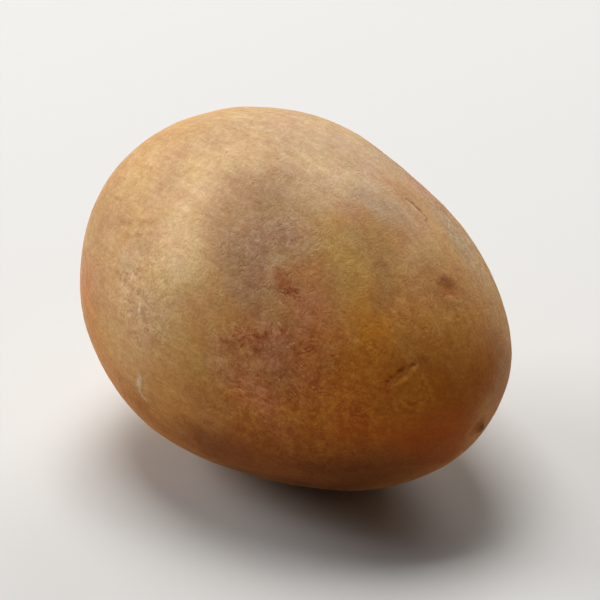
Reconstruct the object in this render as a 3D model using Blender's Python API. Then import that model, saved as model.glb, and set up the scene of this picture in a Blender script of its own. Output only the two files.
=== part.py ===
"""A whole ripe sapodilla, picked and lying on its side.

It is one closed body, as it grew: a blunt egg, fuller at the stem end, with low swells and flats in its
sides, the round scar that the stem left at one end and the withered tip of the flower at the other.
It lies on a small flat spot under its weight, with the tip end a little lower than the stem end.
+Z is up and +X runs from the stem end to the tip. The origin is at the bottom, under the middle.
"""

import math

import bmesh
import bpy
from mathutils import Matrix, Vector

MM = 0.001

# The egg, in millimetres: its length from stem scar to tip, and its width and depth across that line.
LENGTH = 72.4
WIDTH = 54.2
DEPTH = 53.0
TAPER = 0.128  # share by which the tip end is slimmer, and the stem end fuller, than an ellipsoid

# At rest the tip end leans down by this many degrees, which puts the fruit's weight over its flat spot.
REST_LEAN = 6.9
FLAT_DEPTH = 0.4  # millimetres that the weight presses in

# Low swells (above zero) and flats (below zero): height in millimetres, then where its middle is.
# Longitude runs round the fruit's length from +Y over the top, and latitude towards the tip, in degrees.
SWELL_SPREAD = 20.0
SWELLS = (
    (-0.4, 70, -40),  # flat on the crown, towards the stem
    (-0.8, 45, 5),  # long flat on the upper far flank
    (0.4, 0, 58),  # cheek beside the tip
    (-0.25, -33, 65),  # hollow under that cheek
    (0.5, -110, 40),  # full underside towards the tip
    (0.9, -140, -15),  # belly low on the near flank
    (0.4, -160, -43),  # shoulder by the stem
    (-0.5, 100, 35),  # flat on the near upper side of the tip
    (0.7, 30, -52),  # far shoulder by the stem
)

# Five very shallow ridges run lengthwise.
RIDGES = 5
RIDGE_HEIGHT = 0.12
RIDGE_PHASE = 25.0

# The stem's scar: a corky rim with a lobe where each sepal sat, round a sunken disc, in a shallow dimple.
DIMPLE_RADIUS = 5.2
DIMPLE_DEPTH = 1.1
RIM_RADIUS = 2.3
RIM_WIDTH = 0.7
RIM_HEIGHT = 0.7
SEPALS = 6
SEPAL_WAVE = 0.2

# The tip: the stump of the flower's style with a groove round it, a little below the end of the long axis.
TIP_LONGITUDE = -70
TIP_LATITUDE = 82
STUMP_RADIUS = 0.85
STUMP_HEIGHT = 0.55
GROOVE_RADIUS = 2.0
GROOVE_WIDTH = 0.8
GROOVE_DEPTH = 0.2

# The mesh: meridians, and rings that crowd towards the two ends, where the detail is.
MERIDIANS = 72
RINGS = 64
CROWDING = 0.6

SKIN_COLOUR = (0.42, 0.25, 0.12, 1.0)
SKIN_ROUGHNESS = 0.8
SHARP_EDGE = math.radians(40)


def clear_scene():
    for obj in list(bpy.data.objects):
        bpy.data.objects.remove(obj, do_unlink=True)


def bell(distance, width):
    return math.exp(-((distance / width) ** 2))


def crowded(polar):
    """The polar angle of a ring, moved towards the nearer end."""
    return polar - CROWDING * math.sin(2 * polar) / 2


def direction(longitude, polar):
    """A unit vector. Polar is the angle from the tip, and longitude runs from +Y towards +Z, in radians."""
    ring = math.sin(polar)
    return Vector((math.cos(polar), ring * math.cos(longitude), ring * math.sin(longitude)))


def place(longitude, latitude):
    """The direction of a mark, from its longitude and latitude in degrees."""
    return direction(math.radians(longitude), math.radians(90 - latitude))


def egg_point(towards):
    """The point of the plain egg, in millimetres, before swells and marks."""
    slimming = 1 - TAPER * towards.x
    return Vector((
        LENGTH / 2 * towards.x,
        WIDTH / 2 * slimming * towards.y,
        DEPTH / 2 * slimming * towards.z,
    ))


def swell_height(towards):
    height = 0.0
    for rise, longitude, latitude in SWELLS:
        apart = towards.angle(place(longitude, latitude))
        height += rise * bell(math.degrees(apart), SWELL_SPREAD)
    return height


def ridge_height(longitude, polar):
    wave = math.cos(RIDGES * longitude - math.radians(RIDGE_PHASE))
    return RIDGE_HEIGHT * math.sin(polar) ** 2 * wave


def stem_height(point, longitude):
    """Height of the stem's scar over the egg. Its middle is the end of the long axis."""
    distance = (point - egg_point(Vector((-1, 0, 0)))).length
    rim = RIM_HEIGHT * bell(distance - RIM_RADIUS, RIM_WIDTH)
    rim *= 1 + SEPAL_WAVE * math.cos(SEPALS * longitude)
    return rim - DIMPLE_DEPTH * bell(distance, DIMPLE_RADIUS)


def tip_height(point):
    distance = (point - egg_point(place(TIP_LONGITUDE, TIP_LATITUDE))).length
    stump = STUMP_HEIGHT * bell(distance, STUMP_RADIUS)
    return stump - GROOVE_DEPTH * bell(distance - GROOVE_RADIUS, GROOVE_WIDTH)


def skin_point(longitude, polar):
    """The point of the skin, in millimetres, on the fruit's own axes."""
    towards = direction(longitude, polar)
    point = egg_point(towards)
    height = swell_height(towards) + ridge_height(longitude, polar)
    height += stem_height(point, longitude) + tip_height(point)
    return point + height * point.normalized()


def shape_fruit(mesh):
    """Turns a unit sphere, whose poles are on Z, into the fruit at rest, with its lowest point under z = 0."""
    lean = Matrix.Rotation(math.radians(REST_LEAN), 3, "Y")
    for vertex in mesh.verts:
        polar = crowded(math.acos(max(-1.0, min(1.0, vertex.co.z))))
        longitude = math.atan2(vertex.co.y, vertex.co.x)
        vertex.co = lean @ skin_point(longitude, polar) * MM
    lowest = min(vertex.co.z for vertex in mesh.verts)
    for vertex in mesh.verts:
        vertex.co.z -= lowest + FLAT_DEPTH * MM


def press_flat(mesh):
    """Cuts off what is under z = 0 and closes the cut with the flat spot."""
    everything = mesh.verts[:] + mesh.edges[:] + mesh.faces[:]
    bmesh.ops.bisect_plane(mesh, geom=everything, plane_co=(0, 0, 0), plane_no=(0, 0, -1), clear_outer=True)
    rim = [edge for edge in mesh.edges if edge.is_boundary]
    bmesh.ops.contextual_create(mesh, geom=rim)


def centre_over_origin(mesh):
    for axis in (0, 1):
        places = [vertex.co[axis] for vertex in mesh.verts]
        middle = (min(places) + max(places)) / 2
        for vertex in mesh.verts:
            vertex.co[axis] -= middle


def skin_material():
    material = bpy.data.materials.new("skin")
    material.use_nodes = True
    shader = material.node_tree.nodes["Principled BSDF"]
    shader.inputs["Base Color"].default_value = SKIN_COLOUR
    shader.inputs["Roughness"].default_value = SKIN_ROUGHNESS
    shader.inputs["Metallic"].default_value = 0.0
    return material


def build_fruit(collection):
    mesh = bmesh.new()
    bmesh.ops.create_uvsphere(mesh, u_segments=MERIDIANS, v_segments=RINGS, radius=1.0)
    shape_fruit(mesh)
    press_flat(mesh)
    centre_over_origin(mesh)
    bmesh.ops.recalc_face_normals(mesh, faces=mesh.faces[:])
    data = bpy.data.meshes.new("sapodilla_fruit")
    mesh.to_mesh(data)
    mesh.free()
    data.shade_smooth()
    data.set_sharp_from_angle(angle=SHARP_EDGE)
    data.materials.append(skin_material())
    fruit = bpy.data.objects.new("sapodilla_fruit", data)
    collection.objects.link(fruit)
    return fruit


def main():
    clear_scene()
    collection = bpy.data.collections.new("sapodilla")
    bpy.context.scene.collection.children.link(collection)
    build_fruit(collection)


main()
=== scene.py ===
"""The looks of a whole ripe sapodilla that lies on its side on a pale floor.

One fine mesh replaces the plain solid. It repeats the solid's formulas and adds the low relief of the
skin, and its material is worked out from soft patches, whose places are measured on the fruit, and noise.
"""
import math

import bmesh
import bpy
import numpy as np
from mathutils import Matrix, Vector, noise


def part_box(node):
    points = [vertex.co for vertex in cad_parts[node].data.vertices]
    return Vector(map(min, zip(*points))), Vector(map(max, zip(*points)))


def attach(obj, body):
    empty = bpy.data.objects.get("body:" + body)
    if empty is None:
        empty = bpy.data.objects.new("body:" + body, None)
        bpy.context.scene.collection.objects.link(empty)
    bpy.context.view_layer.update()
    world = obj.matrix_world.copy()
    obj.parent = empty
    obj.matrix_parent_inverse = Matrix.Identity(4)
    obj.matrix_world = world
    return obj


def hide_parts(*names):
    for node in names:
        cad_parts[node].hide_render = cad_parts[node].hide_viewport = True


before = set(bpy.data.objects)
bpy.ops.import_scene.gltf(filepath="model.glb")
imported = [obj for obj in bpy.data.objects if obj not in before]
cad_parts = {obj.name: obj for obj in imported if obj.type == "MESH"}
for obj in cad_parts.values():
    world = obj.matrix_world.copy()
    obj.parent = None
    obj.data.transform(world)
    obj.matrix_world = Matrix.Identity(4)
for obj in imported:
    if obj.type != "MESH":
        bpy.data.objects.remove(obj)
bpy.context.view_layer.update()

MM = 0.001
NODE = "sapodilla_fruit"

# The egg, in millimetres, as in the solid.
LENGTH = 72.4
WIDTH = 54.2
DEPTH = 53.0
TAPER = 0.128
REST_LEAN = 6.9
FLAT_DEPTH = 0.4
FLAT_SOFTNESS = 0.12

# Swells and flats of the solid: height in millimetres, then longitude and latitude in degrees.
SWELL_SPREAD = 20.0
SWELLS = (
    (-0.4, 70, -40),
    (-0.8, 45, 5),
    (0.4, 0, 58),
    (-0.25, -33, 65),
    (0.5, -110, 40),
    (0.9, -140, -15),
    (0.4, -160, -43),
    (-0.5, 100, 35),
    (0.7, 30, -52),
)
RIDGES = 5
RIDGE_HEIGHT = 0.12
RIDGE_PHASE = 25.0

# The stem's scar and the tip, as in the solid.
DIMPLE_RADIUS = 5.2
DIMPLE_DEPTH = 1.1
RIM_RADIUS = 2.3
RIM_WIDTH = 0.7
RIM_HEIGHT = 0.7
SEPALS = 6
SEPAL_WAVE = 0.2
TIP_LONGITUDE = -70
TIP_LATITUDE = 82
STUMP_RADIUS = 0.85
STUMP_HEIGHT = 0.55
GROOVE_RADIUS = 2.0
GROOVE_WIDTH = 0.8
GROOVE_DEPTH = 0.2

# The noise that the mesh is worked out with, and the octaves of its two kinds.
FRACTAL_FALL = 1.0
LACUNARITY = 2.0
SMOOTH = 2
ROUGHER = 3

# Low relief of the skin, in millimetres: height, and size across.
RELIEF = (
    (0.16, 13.0),
    (0.05, 4.5),
    (0.022, 1.4),
)
WRINKLE_HEIGHT = 0.035
WRINKLE_WIDTH = 1.7
WRINKLE_STRETCH = 0.14
STEM_WRINKLES = 0.16
STEM_WRINKLE_REACH = 9.0
CORK_HEIGHT = 0.16
CORK_SIZE = 0.8
CORK_REACH = 3.6

# Shallow facets and welts: height in millimetres, then an oval in degrees. Its longitude and latitude come
# first, then its two reaches, and its turn from across the fruit to along it.
FORMS = (
    (-0.40, 124, 12, 22, 11, 40),
    (-0.12, 112, 32, 13, 11, 0),
    (0.38, 138, -4, 16, 8, 38),
    (0.22, 92, 9, 17, 5, 125),
    (0.14, 82, 32, 9, 4, 95),
    (0.12, 150, 63, 9, 6, 0),
    (0.62, 124, -48, 24, 15, 0),
)

# The pit on the tip's upper side, in millimetres.
PIT_PLACE = (83.5, 46.6)
PIT_RADIUS = 1.5
PIT_DEPTH = 0.2
PIT_LIP_RADIUS = 2.0
PIT_LIP_WIDTH = 0.7
PIT_LIP_HEIGHT = 0.1

# Colours of the skin, linear.
BUFF = (0.54, 0.355, 0.19)
CREAM = (0.76, 0.52, 0.275)
SAND = (0.66, 0.395, 0.18)
PINK = (0.56, 0.385, 0.24)
TAN = (0.50, 0.295, 0.125)
MAUVE = (0.43, 0.255, 0.136)
OLIVE = (0.53, 0.285, 0.075)
GOLD = (0.64, 0.325, 0.085)
OCHRE = (0.62, 0.235, 0.022)
CLAY = (0.56, 0.235, 0.045)
AMBER = (0.50, 0.155, 0.012)
RUST = (0.60, 0.210, 0.068)
TERRACOTTA = (0.85, 0.20, 0.03)
BRICK = (0.45, 0.165, 0.048)
EMBER = (0.39, 0.075, 0.002)
UMBER = (0.37, 0.105, 0.016)
DUSK = (0.36, 0.17, 0.06)
ASH = (0.42, 0.32, 0.22)
# A near-black brown that is painted shade, used only where shade falls low on the fruit.
PAINTED_SHADE = (0.11, 0.025, 0.004)
CORK = (0.17, 0.085, 0.05)
PALE_CORK = (0.46, 0.28, 0.17)
STUMP = (0.14, 0.05, 0.02)
PIT = (0.33, 0.085, 0.02)

# Soft patches of the skin, each laid over the ones before: colour, strength, and an oval as above.
PATCHES = (
    # The underside and the tip, darker and warmer: partly the skin's own colour, partly painted shade.
    (CLAY, 0.80, -130, 10, 70, 50, 0),
    (AMBER, 0.97, -178, 48, 46, 34, 0),
    (AMBER, 0.60, -70, 82, 30, 30, 0),
    # The far side.
    (OLIVE, 0.50, 15, 36, 28, 17, 20),
    (RUST, 0.45, -28, -18, 28, 15, 60),
    (MAUVE, 0.55, 26, -14, 24, 14, -30),
    (GOLD, 0.45, -58, 26, 24, 15, 0),
    # The pale stem end.
    (BUFF, 0.80, 95, -22, 42, 22, 0),
    (TAN, 0.75, 128, -46, 30, 14, 0),
    (SAND, 0.95, 163, -14, 30, 17, 0),
    (CREAM, 0.40, 159, -12, 13, 10, 0),
    (CREAM, 0.60, 116, -14, 18, 9, 0),
    (CREAM, 0.85, 143, -9, 12, 8, 30),
    (TAN, 0.30, 162, -13, 6, 5, 0),
    (CREAM, 0.70, 128, -8, 7, 5, 0),
    (CREAM, 0.55, 115, -9, 7, 6, 0),
    (CREAM, 0.30, 126, -37, 9, 8, 0),
    (CREAM, 0.30, 69, -8, 10, 8, 0),
    (PINK, 0.45, 150, -21, 9, 6, 0),
    (TAN, 0.30, 135, -18, 6, 5, 0),
    (GOLD, 0.65, 176, 4, 15, 8, 0),
    # The mauve patch on the near side, and the olive and pink skin beside it.
    (OLIVE, 0.90, 116, 27, 20, 14, 0),
    (MAUVE, 0.80, 125, 7, 27, 13, 35),
    (MAUVE, 0.75, 127, 7, 24, 11, 34),
    (MAUVE, 0.60, 141, 15, 9, 8, 0),
    (OLIVE, 0.45, 150, -2, 4, 3, 0),
    (OLIVE, 0.30, 114, 12, 5, 5, 0),
    (BRICK, 0.25, 144, 13, 8, 6, 35),
    (BRICK, 0.75, 129.5, 20.5, 8, 6, 20),
    (BRICK, 0.25, 133, 13.5, 5, 4, 0),
    (ASH, 0.50, 58, 27, 24, 8, 90),
    (PINK, 0.80, 82, 4, 22, 13, 0),
    # Partly the skin's own pink, partly a painted highlight along the low ridge that FORMS raises here.
    (PINK, 0.80, 91, 12, 17, 4.5, 125),
    (CREAM, 0.45, 95.5, 10, 6, 4.5, 0),
    (PINK, 0.30, 97, 16, 5, 4, 0),
    (MAUVE, 0.40, 99, 24.5, 8, 6, 0),
    (MAUVE, 0.35, 74, 18, 7, 6, 0),
    (OLIVE, 0.50, 96, 27, 8, 5, 0),
    # The golden and reddish skin towards the tip.
    (CLAY, 0.90, 98, 56, 26, 15, 0),
    (RUST, 0.85, 162, 28, 22, 14, 0),
    (SAND, 0.20, 160, 21, 10, 8, 0),
    (OCHRE, 0.84, 131, 42, 18, 8, 28),
    (OLIVE, 0.15, 126, 38, 8, 5, 0),
    (RUST, 0.45, 146, 26, 12, 7, 0),
    (SAND, 0.30, 166, 13, 8, 5, 0),
    (BRICK, 0.45, 141.5, 22, 7, 5, 40),
    (PINK, 0.20, 150, 23.5, 12, 7, 0),
    (DUSK, 0.60, 112, 36, 9, 5, 20),
    (DUSK, 0.45, 100.5, 32, 6, 4.5, 0),
    (OLIVE, 0.25, 98, 42, 6, 5, 0),
    (BRICK, 0.45, -179, 30, 7, 5, 0),
    (BRICK, 0.20, 160, 22, 12, 6, 120),
    (PINK, 0.65, 85, 20, 9, 6, 120),
    (CLAY, 0.85, -158, -3, 18, 10, 0),
    # The dark tip and underside of the near side: partly the skin's own deeper colour, partly painted shade
    # and painted orange bounce light.
    (EMBER, 0.90, 168, 68, 24, 16, 0),
    (EMBER, 0.70, 112, 77, 24, 9, 0),
    (EMBER, 0.70, -172, 76, 24, 12, 0),
    (EMBER, 0.60, -178, 49, 9, 6, 0),
    (AMBER, 0.60, 110, 72, 18, 12, 0),
    (AMBER, 0.75, 150, 60, 13, 8, 0),
    (AMBER, 0.55, 176, 37.5, 9, 5, 0),
    (OCHRE, 0.70, 156, 45, 15, 6, -8),
    (OCHRE, 0.35, 147, 59, 8, 5, 0),
    (OCHRE, 0.35, 178, 31, 6, 5, 0),
    (BRICK, 0.55, -175, 8, 9, 6, 0),
    (BUFF, 0.20, -165, -9, 7, 6, 0),
    # Painted shade low on the near side, and a painted shadow band along its lower edge.
    (UMBER, 0.90, -160, 28, 14, 20, 0),
    (PAINTED_SHADE, 0.85, -138, 38, 20, 36, 0),
    (UMBER, 0.65, -150, 8, 28, 10, 75),
    (PAINTED_SHADE, 0.25, -153, 7, 20, 8, 75),
    # Weak patches that adjust all these.
    (CREAM, 0.35, 167, -13, 7, 5, 0),
    (GOLD, 0.40, -157, -3, 6, 4, 0),
    # A soft painted shadow on the lower edge of the near side.
    (PAINTED_SHADE, 0.24, -155, 10, 11, 9, 0),
    (SAND, 0.22, 126, -4, 8, 6, 0),
    (BUFF, 0.20, 108.5, 20, 5, 4, 0),
    (BRICK, 0.30, 140.5, 24, 4, 3, 0),
    (CLAY, 0.28, 143.5, 46.5, 5, 3.5, 0),
    (BUFF, 0.25, 70, 49, 7, 6, 0),
    (BUFF, 0.35, 50, 34, 8, 6, 0),
    # These two are partly the skin's own orange, partly painted shade and painted orange bounce light low on
    # the near side.
    (TERRACOTTA, 0.25, 160, 43, 15, 13, 0),
    (EMBER, 0.22, 166, 63, 7, 6, 0),
    (CREAM, 0.40, 96, 3, 8, 5, 0),
    (MAUVE, 0.22, 104, 8, 6, 4, 0),
    (PINK, 0.35, 76, -20, 24, 14, 0),
    (PINK, 0.30, 54, 32, 8, 6, 0),
    (OLIVE, 0.28, 143, 21.5, 5, 4, 0),
    (PINK, 0.08, 147.5, 39.5, 6, 4.5, 0),
    (PINK, 0.05, 136, 35.5, 5, 4, 0),
    (AMBER, 0.30, 74, 71, 7, 6, 0),
)
PATCH_WARP = 0.085
PATCH_WARP_SIZE = 0.35
PATCH_WARP_STARTS = (5.0, 9.0, 14.0)
PATCH_EDGE = 3.4

# Rings of colour round the stem's scar, the tip and the pit: colour, strength, how much it varies as cork
# does, and the ring's radius and width in millimetres.
SCAR_RINGS = (
    (RUST, 0.5, 0.0, 0.0, 6.0),
    (CORK, 0.85, 0.6, 2.7, 1.0),
    (PALE_CORK, 0.75, 0.5, 0.0, 1.6),
    (CORK, 0.8, 0.0, 0.0, 0.5),
)
TIP_RINGS = (
    (UMBER, 0.5, 0.0, 0.0, 3.0),
    (STUMP, 0.7, 0.0, 0.0, 1.1),
)
PIT_RINGS = (
    (DUSK, 0.5, 0.0, 0.0, 3.8),
    (PIT, 0.62, 0.0, 0.0, 1.9),
)

# Clouds of colour under the patches: colour, strength, size in millimetres, and where the noise starts.
CLOUDS = (
    (MAUVE, 0.60, 24.0, 3.0),
    (GOLD, 0.60, 20.0, 41.0),
    (SAND, 0.50, 15.0, 77.0),
    (RUST, 0.50, 17.0, 118.0),
)
CLOUD_COVER = 0.5
CLOUD_EDGE = 2

# How strongly the skin is mottled: at least, and then in places, as strength and an oval as above.
MOTTLE_LEAST = 0.32
MOTTLE = (
    (0.85, 176, 34, 40, 30, 0),
    (0.5, 165, -12, 24, 14, 0),
    (0.6, 128, 12, 24, 16, 0),
    (0.5, 110, 50, 30, 20, 0),
    (0.9, -40, -10, 40, 30, 30),
    (0.7, 40, 20, 30, 30, 0),
)

# Where red russet lines lie thick: strength, and an oval as above.
RUSSET = (
    (1.0, 155, 17.5, 10, 3.6, 125),
    (1.0, 134, 18.5, 5, 3, 64),
    (0.7, 150, 26, 9, 6, 0),
    (0.65, 168, 24, 26, 18, 0),
    (0.6, -156, 6, 16, 10, 0),
    (0.5, 165, -14, 18, 10, 0),
)
RUSSET_EVERYWHERE = 0.15

# Small marks. Each group has the cast that it gives the skin under it, then its lines: half a width in
# millimetres, and the places, as longitude and latitude, that the line runs through.
MARKS = (
    # The dark line along the curved scratch: partly the scratch's own dark colour, partly painted shadow along
    # its raised edge.
    ((0.50, 0.34, 0.32), (
        (0.48, (147.9, 51.9), (141.6, 53.1), (135.7, 54.4), (131.5, 56.2)),
    )),
    ((0.76, 0.52, 0.50), (
        (0.75, (161.0, 10.4), (159.9, 13.8), (156.0, 16.5), (157.3, 18.7),
         (151.5, 20.4), (151.4, 22.7), (148.3, 23.8)),
        (0.70, (157.2, 13.2), (153.4, 16.6), (154.3, 19.8), (153.9, 22.1)),
        (0.70, (159.2, 16.1), (158.8, 20.3)),
        (0.60, (-36.0, 10.0), (-41.5, 13.0), (-38.5, 17.0), (-43.0, 20.5)),
        (0.55, (22.0, 44.0), (17.0, 46.5), (19.0, 50.0)),
    )),
    ((0.52, 0.46, 0.44), (
        (0.52, (74.6, 20.6), (73.4, 21.8), (71.9, 24.5), (71.7, 26.8), (73.2, 27.6)),
        (0.42, (30.0, -19.0), (25.5, -15.0), (23.5, -9.5)),
        (0.45, (-72.0, -30.0), (-67.0, -33.0)),
    )),
    ((0.86, 0.76, 0.74), (
        (0.70, (106.0, 31.4), (103.0, 33.0)),
        (0.80, (146.0, -31.0), (142.5, -25.0), (139.6, -19.5)),
        (0.70, (148.0, -25.5), (144.0, -19.5), (140.0, -13.5)),
        (0.60, (160.5, -24.0), (158.0, -20.0)),
    )),
    ((0.93, 0.68, 0.62), (
        (1.30, (131.6, 15.0), (133.0, 17.2), (135.4, 20.0)),
    )),
    ((0.93, 0.80, 0.76), (
        (0.80, (134.0, 21.0), (137.6, 24.6)),
        (0.80, (137.0, 17.5), (140.5, 20.5)),
    )),
    ((1.24, 1.36, 1.60), (
        (0.50, (144.5, 60.2), (146.9, 62.3), (152.9, 63.2)),
        (0.50, (140.0, 60.2), (144.6, 63.8), (152.8, 65.7), (159.7, 63.9)),
        (0.55, (134.5, 60.3), (141.0, 65.6), (154.2, 68.5)),
        (0.40, (84.5, 48.8), (83.5, 50.6), (80.0, 51.0)),
        (0.40, (151.5, -18.6), (155.0, -18.0)),
        (0.40, (161.5, -13.6), (166.5, -12.6)),
        (0.40, (157.0, -21.0), (158.5, -17.5)),
        (0.42, (-14.0, -32.0), (-9.0, -27.5), (-10.0, -21.0)),
        (0.45, (40.0, 8.0), (35.0, 12.0), (28.0, 13.0)),
    )),
    ((1.42, 1.74, 2.60), (
        (0.56, (150.6, 53.2), (147.1, 54.8), (142.2, 56.0), (137.1, 56.8), (131.0, 57.4)),
        (0.36, (140.6, 18.4), (139.6, 19.2), (140.4, 20.6)),
        (0.34, (75.3, 20.3), (73.9, 24.2)),
    )),
    ((1.18, 1.75, 3.40), (
        (0.90, (-169.5, -10.4), (-165.5, -11.0)),
        (0.50, (-165.5, -11.0), (-162.8, -10.4), (-160.8, -8.6)),
    )),
)

# Faint rings in the skin by the curved scratch: longitude and latitude of their middle, then millimetres.
RINGS_PLACE = (151, 61)
RINGS_APART = 1.3
RINGS_FROM = 0.6
RINGS_TO = 5.6
RINGS_CASTS = ((0.80, 0.72, 0.66), (1.20, 1.28, 1.36))

# Lines of the small marks waver by about this much, in millimetres, over waves of this size.
SHAKE = 0.9
SHAKE_SIZE = 0.8

# The detail of the material's noise, from plain to rich, and its roughness.
PLAIN = 2.0
FINE = 3.0
RICH = 4.0
SOFT = 0.55
ROUGH = 0.6
GRITTY = 0.65
NOISE_MIDDLE = 0.5

# Casts multiply the colour under them. Mottling, from large to small: size in millimetres, detail,
# distortion, the noise's low and high value, and the casts there.
MOTTLING = (
    (6.0, RICH, 0.0, 0.36, 0.64, (1.02, 0.96, 1.10), (0.99, 1.03, 0.84)),
    (2.6, FINE, 0.5, 0.32, 0.68, (0.90, 0.79, 0.68), (1.09, 1.19, 1.28)),
    (1.1, FINE, 0.4, 0.32, 0.68, (0.84, 0.74, 0.70), (1.16, 1.26, 1.26)),
)

# Streaks along the fruit and the finest grain: size in millimetres, low and high value, and casts there.
STREAK_SIZE = 0.9
STREAK_RANGE = (0.3, 0.7)
STREAK_CASTS = ((0.95, 0.93, 0.92), (1.05, 1.06, 1.06))
GRAIN_SIZE = 0.42
GRAIN_RANGE = (0.3, 0.7)
GRAIN_CASTS = ((0.87, 0.84, 0.82), (1.13, 1.15, 1.16))
GRAIN_MORE = 0.2  # more of it than of the mottling

# Webs of thin lines: their size in millimetres and the lines' width as a share of the noise. The gaps that
# break them up: size, and the values between which the lines come in.
WEB_DISTORTION = 0.6
CRACKLE_WEB = (2.7, 0.05)
CRACKLE_GAPS = (2.2, 0.46, 0.6)
CRACKLE_CAST = (0.74, 0.62, 0.56)
# Each crackle line is partly the skin's own colour and partly painted shade, and its pale edge below is a
# painted highlight, as on tiny ridges lit from above.
CRACKLE_EDGE = (0.0, 0.0, 0.32)  # each line's pale edge lies this far under it, in millimetres
CRACKLE_HIGHLIGHT_CAST = (1.22, 1.30, 1.38)
RUSSET_WEB = (1.9, 0.075)
RUSSET_GAPS = (1.6, 0.44, 0.58)
RUSSET_CAST = (0.68, 0.46, 0.44)
RINGS_GAPS = (2.5, 0.4, 0.6)
MARK_GAPS = (0.8, 0.36, 0.56)
MARK_LEAST = 0.25

# Specks: size of the cells that may hold one, its radius, both in millimetres, and the share that do.
DARK_SPECKS = (2.6, 0.34, 0.35)
DARK_SPECK = (0.20, 0.085, 0.04)
DARK_STRENGTH = 0.35
PALE_SPECKS = (1.9, 0.26, 0.3)
PALE_SPECK_CAST = (1.22, 1.26, 1.30)
PALE_STRENGTH = 0.6

# The sheen of the skin, and the height of its finest relief in millimetres.
ROUGHNESS_RANGE = (0.78, 0.62)
SPECULAR = 0.12
SHEEN = 0.03
SHEEN_ROUGHNESS = 0.4
SHEEN_TINT = (1.0, 0.75, 0.55)
BUMP_GRAIN = 0.03
BUMP_CRACKLE = 0.05

# The fine mesh: a cube of this many squares along each edge, blown up to a ball.
SQUARES = 128
CROWDING = 0.3  # how much its points crowd towards the stem and the tip

# The camera, as it stood to the fruit: degrees round it and above it, metres away, and metres across its view.
VIEW_AZIMUTH = 43.6
VIEW_ELEVATION = 30.0
VIEW_DISTANCE = 0.56
VIEW_WIDTH = 0.0903
SENSOR = 36.0  # millimetres
NEAREST = 0.01  # metres, where its view begins

# Square soft panels that face the fruit: name, direction from it (right, away and up, as the camera sees
# them), distance and size in metres, and watts.
PANELS = (
    ("top_panel", (-0.1, 0.28, 0.95), 1.2, 0.7, 13.5),
    ("left_panel", (-0.85, 0.3, 0.44), 1.2, 0.6, 8.7),
    ("back_panel", (0.35, 0.8, 0.5), 1.2, 0.6, 4.5),
)
WHITE = (1.0, 1.0, 1.0)
WORLD_STRENGTH = 0.04
FLOOR_SIZE = 6.0
FLOOR_COLOUR = (0.64, 0.63, 0.61)
FLOOR_ROUGHNESS = 0.8

TINY = 1e-6  # keeps a divisor above nothing


def bell(distance, width):
    return np.exp(-((distance / width) ** 2))


def place(longitude, latitude):
    """A direction from longitude and latitude in degrees, as an array."""
    lon = math.radians(longitude)
    lat = math.radians(latitude)
    return np.array((math.sin(lat), math.cos(lat) * math.cos(lon), math.cos(lat) * math.sin(lon)))


def egg_points(towards):
    slimming = 1 - TAPER * towards[..., 0]
    return np.stack((
        LENGTH / 2 * towards[..., 0],
        WIDTH / 2 * slimming * towards[..., 1],
        DEPTH / 2 * slimming * towards[..., 2],
    ), axis=-1)


def swell_heights(towards):
    height = np.zeros(len(towards))
    for rise, longitude, latitude in SWELLS:
        apart = np.degrees(np.arccos(np.clip(towards @ place(longitude, latitude), -1, 1)))
        height += rise * bell(apart, SWELL_SPREAD)
    longitude = np.arctan2(towards[:, 2], towards[:, 1])
    ring = 1 - towards[:, 0] ** 2
    return height + RIDGE_HEIGHT * ring * np.cos(RIDGES * longitude - math.radians(RIDGE_PHASE))


def stem_distances(points):
    return np.linalg.norm(points - egg_points(np.array((-1.0, 0.0, 0.0))), axis=1)


def tip_distances(points):
    return np.linalg.norm(points - egg_points(place(TIP_LONGITUDE, TIP_LATITUDE)), axis=1)


def stem_heights(points, towards):
    distance = stem_distances(points)
    longitude = np.arctan2(towards[:, 2], towards[:, 1])
    rim = RIM_HEIGHT * bell(distance - RIM_RADIUS, RIM_WIDTH)
    rim *= 1 + SEPAL_WAVE * np.cos(SEPALS * longitude)
    return rim - DIMPLE_DEPTH * bell(distance, DIMPLE_RADIUS)


def tip_heights(points):
    distance = tip_distances(points)
    stump = STUMP_HEIGHT * bell(distance, STUMP_RADIUS)
    return stump - GROOVE_DEPTH * bell(distance - GROOVE_RADIUS, GROOVE_WIDTH)


def wander(points, size, octaves):
    """Fractal noise at points, as heights of about -1 to 1. Size is the width of its largest waves."""
    places = [Vector(point) for point in points / size]
    return np.array([noise.fractal(spot, FRACTAL_FALL, LACUNARITY, octaves) for spot in places])


def reach(towards, longitude, latitude, along, across, turn):
    """Distance from an oval's middle, in units of its two reaches."""
    lon = math.radians(longitude)
    lat = math.radians(latitude)
    east = np.array((0.0, -math.sin(lon), math.cos(lon)))
    north = np.array((math.cos(lat), -math.sin(lat) * math.cos(lon), -math.sin(lat) * math.sin(lon)))
    apart = np.arccos(np.clip(towards @ place(longitude, latitude), -1, 1))
    spread = np.degrees(apart) / np.maximum(np.sin(apart), TINY)
    right = spread * (towards @ east)
    ahead = spread * (towards @ north)
    cosine = math.cos(math.radians(turn))
    sine = math.sin(math.radians(turn))
    return np.hypot((right * cosine + ahead * sine) / along, (ahead * cosine - right * sine) / across)


def meridian_places(towards):
    """Places for noise that is drawn out along the fruit's length."""
    longitude = np.arctan2(towards[:, 2], towards[:, 1])
    along = np.arcsin(np.clip(towards[:, 0], -1, 1)) * LENGTH / 2
    places = (along * WRINKLE_STRETCH, WIDTH / 2 * np.cos(longitude), WIDTH / 2 * np.sin(longitude))
    return np.stack(places, axis=1)


def pit_distances(points):
    return np.linalg.norm(points - egg_points(place(*PIT_PLACE)), axis=1)


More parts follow.
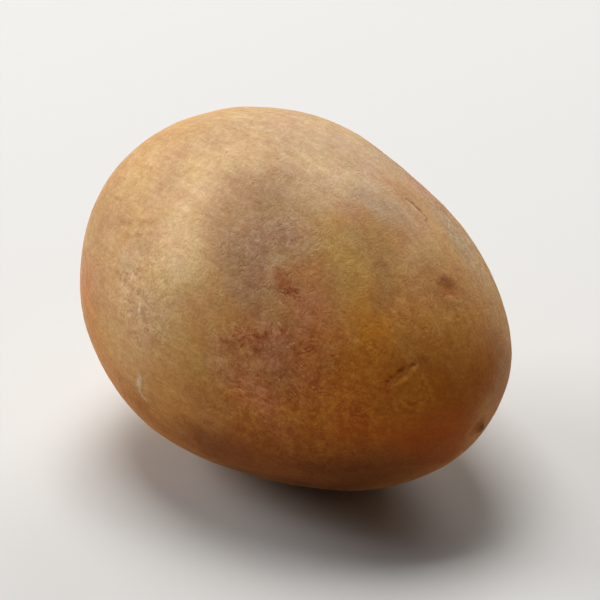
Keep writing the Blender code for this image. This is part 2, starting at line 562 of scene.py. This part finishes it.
def relief_heights(points, towards):
    height = np.zeros(len(points))
    for rise, size in RELIEF:
        height += rise * wander(points, size, SMOOTH)
    for rise, *oval in FORMS:
        height += rise * bell(reach(towards, *oval), 1.0)
    ring = np.sqrt(1 - towards[:, 0] ** 2)
    wrinkles = wander(meridian_places(towards), WRINKLE_WIDTH, SMOOTH)
    gathered = bell(stem_distances(points), STEM_WRINKLE_REACH)
    height += wrinkles * ring * (WRINKLE_HEIGHT + STEM_WRINKLES * gathered)
    corky = bell(stem_distances(points), CORK_REACH) + bell(tip_distances(points), STUMP_RADIUS)
    height += CORK_HEIGHT * corky * wander(points, CORK_SIZE, SMOOTH)
    distance = pit_distances(points)
    height -= PIT_DEPTH * bell(distance, PIT_RADIUS)
    return height + PIT_LIP_HEIGHT * bell(distance - PIT_LIP_RADIUS, PIT_LIP_WIDTH)


def bent(towards):
    """Directions bent a little at random, which makes the borders of the patches wander."""
    bends = [wander(towards + start, PATCH_WARP_SIZE, ROUGHER) for start in PATCH_WARP_STARTS]
    bends = np.stack(bends, axis=1)
    towards = towards + PATCH_WARP * bends
    return towards / np.linalg.norm(towards, axis=1)[:, None]


def dye(tint, colour, amount):
    """Mixes a colour into the tints, as far as each point's amount goes."""
    tint += (np.array(colour) - tint) * np.clip(amount, 0, 1)[:, None]


def skin_tints(points, warped):
    """The broad colour of the skin at each point, painted shade on the underside included."""
    tint = np.tile(BUFF, (len(points), 1))
    for colour, strength, size, start in CLOUDS:
        cloud = np.clip(CLOUD_COVER + wander(points + start, size, ROUGHER), 0, 1)
        dye(tint, colour, strength * cloud ** CLOUD_EDGE)
    for colour, strength, *oval in PATCHES:
        dye(tint, colour, strength * np.exp(-reach(warped, *oval) ** PATCH_EDGE))
    cork = wander(points, CORK_SIZE, SMOOTH)
    for distance, rings in (
        (stem_distances(points), SCAR_RINGS),
        (tip_distances(points), TIP_RINGS),
        (pit_distances(points), PIT_RINGS),
    ):
        for colour, strength, corkiness, radius, width in rings:
            dye(tint, colour, (strength + corkiness * cork) * bell(distance - radius, width))
    return tint


def spread_amounts(towards, least, ovals):
    """The least amount everywhere, and more in some ovals."""
    amount = np.full(len(towards), least)
    for strength, *oval in ovals:
        amount = np.maximum(amount, strength * np.exp(-reach(towards, *oval) ** PATCH_EDGE))
    return amount


def ball_mesh():
    """A cube of fine squares, and for each of its points a direction. They crowd a little at the ends."""
    mesh = bmesh.new()
    bmesh.ops.create_cube(mesh, size=2.0)
    bmesh.ops.subdivide_edges(mesh, edges=mesh.edges[:], cuts=SQUARES - 1, use_grid_fill=True)
    data = bpy.data.meshes.new("sapodilla_skin")
    mesh.to_mesh(data)
    mesh.free()
    corners = np.empty(len(data.vertices) * 3, np.float32)
    data.vertices.foreach_get("co", corners)
    towards = np.tan(corners.reshape(-1, 3).astype(float) * math.pi / 4)
    towards /= np.linalg.norm(towards, axis=1)[:, None]
    polar = np.arccos(np.clip(towards[:, 0], -1, 1))
    longitude = np.arctan2(towards[:, 2], towards[:, 1])
    polar -= CROWDING * np.sin(2 * polar) / 2
    ring = np.sin(polar)
    return data, np.stack((np.cos(polar), ring * np.cos(longitude), ring * np.sin(longitude)), axis=1)


def leaned(points):
    return points @ np.array(Matrix.Rotation(math.radians(REST_LEAN), 3, "Y")).T


def resting_shift(points):
    """The move that puts the whole leaned skin over the solid, with its lowest point under the floor."""
    low, high = (np.array(corner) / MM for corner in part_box(NODE))
    points = leaned(points)
    shift = (low + high) / 2 - (points.min(axis=0) + points.max(axis=0)) / 2
    shift[2] = -points[:, 2].min() - FLAT_DEPTH
    return shift


def lie_down(points, shift):
    """Puts points of the skin where they lie at rest, with the flat spot softly pressed."""
    points = leaned(points) + shift
    height = points[:, 2]
    points[:, 2] = (height + np.sqrt(height ** 2 + FLAT_SOFTNESS ** 2)) / 2
    return points


def skin_points(towards):
    """Points of the skin, in millimetres, on the fruit's own axes."""
    egg = egg_points(towards)
    height = swell_heights(towards)
    height += stem_heights(egg, towards)
    height += tip_heights(egg)
    height += relief_heights(egg, towards)
    outward = egg / np.linalg.norm(egg, axis=1)[:, None]
    return egg + height[:, None] * outward


def store(data, name, kind, field, values):
    """Keeps values, one for each vertex, as an attribute that the material reads."""
    attribute = data.attributes.new(name, kind, "POINT")
    attribute.data.foreach_set(field, values.astype(np.float32).ravel())


def new_node(tree, kind, inputs, **settings):
    """Adds a node. Inputs holds a plain value or another node's output for each socket."""
    node = tree.nodes.new(kind)
    for name, setting in settings.items():
        setattr(node, name, setting)
    for socket, value in inputs.items():
        if isinstance(value, bpy.types.NodeSocket):
            tree.links.new(value, node.inputs[socket])
        else:
            node.inputs[socket].default_value = value
    return node


def read(tree, name, field):
    return new_node(tree, "ShaderNodeAttribute", {}, attribute_name=name).outputs[field]


def noise_fac(tree, where, size, detail, roughness=SOFT, distortion=0.0):
    inputs = {"Vector": where, "Scale": 1 / size, "Detail": detail}
    inputs.update({"Roughness": roughness, "Distortion": distortion})
    return new_node(tree, "ShaderNodeTexNoise", inputs).outputs["Fac"]


def ramp(tree, value, low, high, start=0.0, end=1.0):
    """Turns low to high into start to end, smoothly, and holds it outside them.

    This kind of ramp holds its ends by itself. The node's own clamp would only fill up the shader, which
    turns black once its hundreds of nodes need more room than there is.
    """
    inputs = {"Value": value, "From Min": low, "From Max": high, "To Min": start, "To Max": end}
    node = new_node(tree, "ShaderNodeMapRange", inputs, interpolation_type="SMOOTHSTEP", clamp=False)
    return node.outputs["Result"]


def reckon(tree, operation, first, second=0.0):
    return new_node(tree, "ShaderNodeMath", {0: first, 1: second}, operation=operation).outputs[0]


def reckon_vector(tree, operation, first, second, output="Vector"):
    node = new_node(tree, "ShaderNodeVectorMath", {0: first, 1: second}, operation=operation)
    return node.outputs[output]


def scaled(tree, vector, scale):
    inputs = {0: vector, "Scale": scale}
    return new_node(tree, "ShaderNodeVectorMath", inputs, operation="SCALE").outputs[0]


def blend(tree, amount, first, second, mode="MIX"):
    inputs = {"Fac": amount, "Color1": first, "Color2": second}
    return new_node(tree, "ShaderNodeMixRGB", inputs, blend_type=mode).outputs[0]


def opaque(colour):
    return (*colour, 1.0)


def millimetres(tree):
    return scaled(tree, new_node(tree, "ShaderNodeTexCoord", {}).outputs["Object"], 1 / MM)


def tinged(tree, amount, colour, colour_cast):
    """Multiplies a colour by a cast, as far as the amount goes."""
    return blend(tree, amount, colour, opaque(colour_cast), "MULTIPLY")


def varied(tree, amount, value, casts, colour):
    """Multiplies a colour by a cast between two, which a value picks, as far as the amount goes."""
    picked = blend(tree, value, opaque(casts[0]), opaque(casts[1]))
    return blend(tree, amount, colour, picked, "MULTIPLY")


def mottled(tree, where, amount, colour):
    """Soft mottling of three sizes, from pinkish to golden and from reddish and dark to pale."""
    for size, detail, distortion, low, high, *casts in MOTTLING:
        value = ramp(tree, noise_fac(tree, where, size, detail, ROUGH, distortion), low, high)
        colour = varied(tree, amount, value, casts, colour)
    return colour


def streaked(tree, colour):
    """Faint pale and dark streaks along the fruit."""
    places = read(tree, "meridians", "Vector")
    streaks = ramp(tree, noise_fac(tree, places, STREAK_SIZE, RICH, ROUGH), *STREAK_RANGE)
    return varied(tree, 1.0, streaks, STREAK_CASTS, colour)


def between_gaps(tree, where, gaps, least=0.0):
    """One, apart from gaps at random, where it falls to the least amount."""
    size, low, high = gaps
    return ramp(tree, noise_fac(tree, where, size, PLAIN), low, high, least, 1.0)


def line_web(tree, where, web, gaps):
    """Thin wandering broken lines, where noise passes through its middle value."""
    size, width = web
    value = noise_fac(tree, where, size, FINE, ROUGH, WEB_DISTORTION)
    apart = reckon(tree, "ABSOLUTE", reckon(tree, "SUBTRACT", value, NOISE_MIDDLE))
    lines = ramp(tree, apart, 0.0, width, 1.0, 0.0)
    return reckon(tree, "MULTIPLY", lines, between_gaps(tree, where, gaps))


def crackled(tree, lines, where, amount, colour):
    """Fine broken lines all over, like tiny wrinkles, each dark with a pale lower edge: partly the skin's own
    colour, with painted shade in the line and a painted highlight on its lower edge.
    """
    under = line_web(tree, reckon_vector(tree, "ADD", where, CRACKLE_EDGE), CRACKLE_WEB, CRACKLE_GAPS)
    colour = tinged(tree, lines, colour, CRACKLE_CAST)
    return tinged(tree, reckon(tree, "MULTIPLY", under, amount), colour, CRACKLE_HIGHLIGHT_CAST)


def russeted(tree, where, colour):
    """Short red lines, thick in the russet patches and rare elsewhere."""
    lines = line_web(tree, where, RUSSET_WEB, RUSSET_GAPS)
    lines = reckon(tree, "MULTIPLY", lines, read(tree, "russet", "Fac"))
    return tinged(tree, lines, colour, RUSSET_CAST)


def specks(tree, where, size, radius, share):
    """Small dots, one in some of the cells of a random pattern."""
    cells = new_node(tree, "ShaderNodeTexVoronoi", {"Vector": where, "Scale": 1 / size})
    pick = new_node(tree, "ShaderNodeSeparateColor", {0: cells.outputs["Color"]}).outputs[0]
    dot = ramp(tree, cells.outputs["Distance"], radius / 2 / size, radius / size, 1.0, 0.0)
    return reckon(tree, "MULTIPLY", dot, reckon(tree, "LESS_THAN", pick, share))


def speckled(tree, where, colour):
    dark = reckon(tree, "MULTIPLY", specks(tree, where, *DARK_SPECKS), DARK_STRENGTH)
    colour = blend(tree, dark, colour, opaque(DARK_SPECK))
    pale = reckon(tree, "MULTIPLY", specks(tree, where, *PALE_SPECKS), PALE_STRENGTH)
    return tinged(tree, pale, colour, PALE_SPECK_CAST)


def near_line(tree, where, start, end, width):
    """One on a straight line between two points, falling to nothing a width away from it."""
    along = end - start
    offset = reckon_vector(tree, "SUBTRACT", where, start)
    dot = reckon_vector(tree, "DOT_PRODUCT", offset, along, "Value")
    share = reckon(tree, "MULTIPLY", dot, 1 / along.dot(along))
    share = new_node(tree, "ShaderNodeClamp", {"Value": share}).outputs[0]
    apart = reckon_vector(tree, "DISTANCE", offset, scaled(tree, along, share), "Value")
    return ramp(tree, apart, 0.0, width, 1.0, 0.0)


def shaken(tree, where):
    """The place, moved a little at random, so that lines drawn from it waver."""
    inputs = {"Vector": where, "Scale": 1 / SHAKE_SIZE, "Detail": PLAIN}
    jitter = new_node(tree, "ShaderNodeTexNoise", inputs).outputs["Color"]
    jitter = reckon_vector(tree, "SUBTRACT", jitter, (NOISE_MIDDLE,) * 3)
    return reckon_vector(tree, "ADD", where, scaled(tree, jitter, SHAKE))


def spots_at_rest(places, shift):
    """Points of the skin where the fruit lies, from longitudes and latitudes."""
    towards = np.array([place(*spot) for spot in places])
    return [Vector(spot) for spot in lie_down(skin_points(towards), shift)]


def ringed(tree, where, shift, colour):
    """Faint rings in the skin, which fade in and out as they go round."""
    middle = spots_at_rest([RINGS_PLACE], shift)[0]
    apart = reckon_vector(tree, "DISTANCE", shaken(tree, where), middle, "Value")
    wave = reckon(tree, "SINE", reckon(tree, "MULTIPLY", apart, math.tau / RINGS_APART))
    near = ramp(tree, apart, RINGS_FROM, RINGS_TO, 1.0, 0.0)
    amount = reckon(tree, "MULTIPLY", near, between_gaps(tree, where, RINGS_GAPS))
    return varied(tree, amount, ramp(tree, wave, -1.0, 1.0), RINGS_CASTS, colour)


def marked(tree, where, shift, colour):
    """Draws the small marks, which are set on the skin at rest and fade here and there."""
    shown = between_gaps(tree, where, MARK_GAPS, MARK_LEAST)
    where = shaken(tree, where)
    for mark_cast, lines in MARKS:
        amount = 0.0
        for width, *places in lines:
            spots = spots_at_rest(places, shift)
            for start, end in zip(spots, spots[1:]):
                amount = reckon(tree, "MAXIMUM", near_line(tree, where, start, end, width), amount)
        colour = tinged(tree, reckon(tree, "MULTIPLY", amount, shown), colour, mark_cast)
    return colour


def skin_material(shift):
    material = bpy.data.materials.new("skin")
    material.use_nodes = True
    tree = material.node_tree
    shader = tree.nodes["Principled BSDF"]
    where = millimetres(tree)
    amount = read(tree, "mottle", "Fac")
    grain = ramp(tree, noise_fac(tree, where, GRAIN_SIZE, FINE, GRITTY), *GRAIN_RANGE)
    lines = reckon(tree, "MULTIPLY", line_web(tree, where, CRACKLE_WEB, CRACKLE_GAPS), amount)
    colour = mottled(tree, where, amount, read(tree, "tint", "Color"))
    colour = streaked(tree, colour)
    colour = varied(tree, reckon(tree, "ADD", amount, GRAIN_MORE), grain, GRAIN_CASTS, colour)
    colour = crackled(tree, lines, where, amount, colour)
    colour = russeted(tree, where, colour)
    colour = speckled(tree, where, colour)
    colour = ringed(tree, where, shift, colour)
    colour = marked(tree, where, shift, colour)
    tree.links.new(colour, shader.inputs["Base Color"])
    tree.links.new(ramp(tree, grain, 0.0, 1.0, *ROUGHNESS_RANGE), shader.inputs["Roughness"])
    shader.inputs["Specular IOR Level"].default_value = SPECULAR
    shader.inputs["Sheen Weight"].default_value = SHEEN
    shader.inputs["Sheen Roughness"].default_value = SHEEN_ROUGHNESS
    shader.inputs["Sheen Tint"].default_value = opaque(SHEEN_TINT)
    tree.links.new(fine_relief(tree, grain, lines), shader.inputs["Normal"])
    return material


def fine_relief(tree, grain, lines):
    """The grain stands out of the skin, and the crackle's lines are cut into it."""
    raised = reckon(tree, "MULTIPLY", grain, BUMP_GRAIN)
    height = reckon(tree, "SUBTRACT", raised, reckon(tree, "MULTIPLY", lines, BUMP_CRACKLE))
    return new_node(tree, "ShaderNodeBump", {"Height": height, "Distance": MM, "Strength": 1.0}).outputs[0]


def build_fruit():
    data, towards = ball_mesh()
    egg = egg_points(towards)
    skin = skin_points(towards)
    shift = resting_shift(skin)
    points = lie_down(skin, shift)
    data.vertices.foreach_set("co", (points * MM).astype(np.float32).ravel())
    data.update()
    data.shade_smooth()
    warped = bent(towards)
    tints = np.column_stack((skin_tints(egg, warped), np.ones(len(egg))))
    store(data, "tint", "FLOAT_COLOR", "color", tints)
    store(data, "russet", "FLOAT", "value", spread_amounts(warped, RUSSET_EVERYWHERE, RUSSET))
    store(data, "mottle", "FLOAT", "value", spread_amounts(warped, MOTTLE_LEAST, MOTTLE))
    store(data, "meridians", "FLOAT_VECTOR", "vector", meridian_places(towards))
    data.materials.append(skin_material(shift))
    fruit = bpy.data.objects.new("sapodilla_skin", data)
    bpy.context.scene.collection.objects.link(fruit)
    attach(fruit, "root")
    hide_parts(NODE)


def view_axes():
    """Right, away and up, level with the floor, as the camera sees them."""
    turn = math.radians(VIEW_AZIMUTH)
    return (
        Vector((math.cos(turn), math.sin(turn), 0.0)),
        Vector((-math.sin(turn), math.cos(turn), 0.0)),
        Vector((0.0, 0.0, 1.0)),
    )


def fruit_middle():
    low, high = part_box(NODE)
    return (low + high) / 2


def add_camera():
    data = bpy.data.cameras.new("camera")
    data.sensor_width = SENSOR
    data.lens = SENSOR * VIEW_DISTANCE / VIEW_WIDTH
    data.clip_start = NEAREST
    camera = bpy.data.objects.new("camera", data)
    bpy.context.scene.collection.objects.link(camera)
    away, up = view_axes()[1:]
    rise = math.radians(VIEW_ELEVATION)
    back = up * math.sin(rise) - away * math.cos(rise)
    camera.location = fruit_middle() + back * VIEW_DISTANCE
    camera.rotation_euler = (-back).to_track_quat("-Z", "Y").to_euler()
    bpy.context.scene.camera = camera


def add_panel(name, towards, distance, size, watts):
    data = bpy.data.lights.new(name, "AREA")
    data.size = size
    data.energy = watts
    data.color = WHITE
    light = bpy.data.objects.new(name, data)
    bpy.context.scene.collection.objects.link(light)
    direction = sum((axis * amount for axis, amount in zip(view_axes(), towards)), Vector()).normalized()
    light.location = fruit_middle() + direction * distance
    light.rotation_euler = (-direction).to_track_quat("-Z", "Y").to_euler()


def add_lights():
    for panel in PANELS:
        add_panel(*panel)
    world = bpy.data.worlds.new("world")
    world.use_nodes = True
    background = world.node_tree.nodes["Background"]
    background.inputs["Color"].default_value = opaque(WHITE)
    background.inputs["Strength"].default_value = WORLD_STRENGTH
    bpy.context.scene.world = world


def add_floor():
    bpy.ops.mesh.primitive_plane_add(size=FLOOR_SIZE)
    floor = bpy.context.object
    floor.name = "floor"
    material = bpy.data.materials.new("floor")
    material.use_nodes = True
    shader = material.node_tree.nodes["Principled BSDF"]
    shader.inputs["Base Color"].default_value = opaque(FLOOR_COLOUR)
    shader.inputs["Roughness"].default_value = FLOOR_ROUGHNESS
    floor.data.materials.append(material)


build_fruit()
add_floor()
add_lights()
add_camera()
bpy.context.scene.view_settings.view_transform = "Standard"
